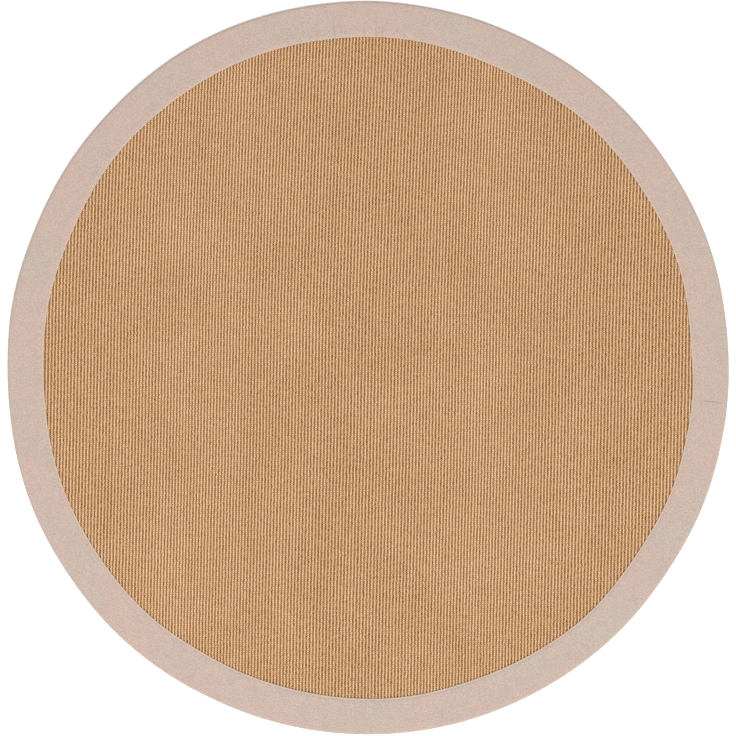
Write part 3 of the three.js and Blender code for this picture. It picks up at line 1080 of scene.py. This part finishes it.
size_chance = sewer.nodes.new("FunctionNodeRandomValue")
size_chance.data_type = "FLOAT"
size_chance.inputs[2].default_value = SMALLEST_STITCH
size_chance.inputs[3].default_value = LARGEST_STITCH
size_chance.inputs["Seed"].default_value = 5
sewn = add(
    sewer,
    "GeometryNodeInstanceOnPoints",
    {
        "Points": resampler.outputs[0],
        "Instance": stitch,
        "Rotation": turned,
        "Scale": size_chance.outputs[1],
    },
)
real = add(sewer, "GeometryNodeRealizeInstances", {"Geometry": sewn})
finished = add(sewer, "GeometryNodeSetMaterial", {"Geometry": real, "Material": thread_finish})
add(sewer, "NodeGroupOutput", {"Stitches": finished})
applied(
    sewing,
    sewer,
    [(pitch_in, STITCH_PITCH * MM), (length_in, STITCH_LENGTH * MM), (thread_in, THREAD * MM)],
    "stitches",
)
sewing.data.shade_smooth()
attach(sewing, "root")


# The studio
# A pale seamless floor, a large soft lamp high on the right-hand near side, a weaker one on the
# left, and even light all round. The camera looks straight down at the rug's middle.

FLOOR_HALF = 40.0  # metres
FLOOR_DROP = 0.2  # mm below the rug, so that the two don't share a plane
FLOOR_GLOW = 0.15
SKY_LIGHT = 0.605
PAPER_WHITE = linear("#F8F8F8")
floor_mesh = bpy.data.meshes.new("floor")
floor_corners = [(-FLOOR_HALF, -FLOOR_HALF), (FLOOR_HALF, -FLOOR_HALF)]
floor_corners += [(FLOOR_HALF, FLOOR_HALF), (-FLOOR_HALF, FLOOR_HALF)]
floor_mesh.from_pydata([(x, y, -FLOOR_DROP * MM) for x, y in floor_corners], [], [(0, 1, 2, 3)])
floor = placed("floor", floor_mesh)
paper, tree = new_material("white_paper_floor")
surface = add(
    tree,
    "ShaderNodeBsdfPrincipled",
    {
        "Base Color": PAPER_WHITE,
        "Roughness": 0.9,
        "Emission Color": (1, 1, 1, 1),
        "Emission Strength": FLOOR_GLOW,
    },
)
add(tree, "ShaderNodeOutputMaterial", {"Surface": surface})
floor_mesh.materials.append(paper)

# Where each lamp stands: its bearing and its height above the floor in degrees, its distance and
# its width in metres, and the light it sends to each square metre at the rug, in watts.
LAMPS = [
    dict(name="soft_lamp", bearing=-60, height=60, away=16, size=6.0, light=1.92),
    dict(name="fill_lamp", bearing=200, height=45, away=6, size=2.4, light=0.34),
]
for row in LAMPS:
    lamp_data = bpy.data.lights.new(row["name"], "AREA")
    lamp_data.shape = "DISK"
    lamp_data.size = row["size"]
    lamp_data.energy = row["light"] * math.pi * row["away"] ** 2
    lamp = placed(row["name"], lamp_data)
    rise, turn = math.radians(row["height"]), math.radians(row["bearing"])
    level = row["away"] * math.cos(rise)
    lamp.location = (level * math.cos(turn), level * math.sin(turn), row["away"] * math.sin(rise))
    lamp.rotation_euler = (0, math.pi / 2 - rise, turn)

world = bpy.data.worlds.new("even_light")
bpy.context.scene.world = world
world.use_nodes = True
sky = world.node_tree.nodes["Background"]
sky.inputs[0].default_value = (1, 1, 1, 1)
sky.inputs[1].default_value = SKY_LIGHT

PICTURE_SIDE = 736  # pixels
RUG_MIDDLE_PIXEL = (368.25, 367.9)  # in the photograph
RUG_LENGTH_PIXELS = 734.2
MM_PER_PIXEL = RUG_LENGTH / RUG_LENGTH_PIXELS
LENS = 100.0  # mm
SENSOR = 36.0  # mm
camera_data = bpy.data.cameras.new("camera")
camera_data.lens = LENS
camera_data.sensor_width = SENSOR
camera = placed("camera", camera_data)
view_width = PICTURE_SIDE * MM_PER_PIXEL * MM
aim_x = (PICTURE_SIDE / 2 - RUG_MIDDLE_PIXEL[0]) * MM_PER_PIXEL * MM
aim_y = -(PICTURE_SIDE / 2 - RUG_MIDDLE_PIXEL[1]) * MM_PER_PIXEL * MM
camera.location = (aim_x, aim_y, view_width * LENS / SENSOR + TOP * MM)
bpy.context.scene.camera = camera
bpy.context.scene.view_settings.view_transform = "Standard"
bpy.context.scene.cycles.use_denoising = False
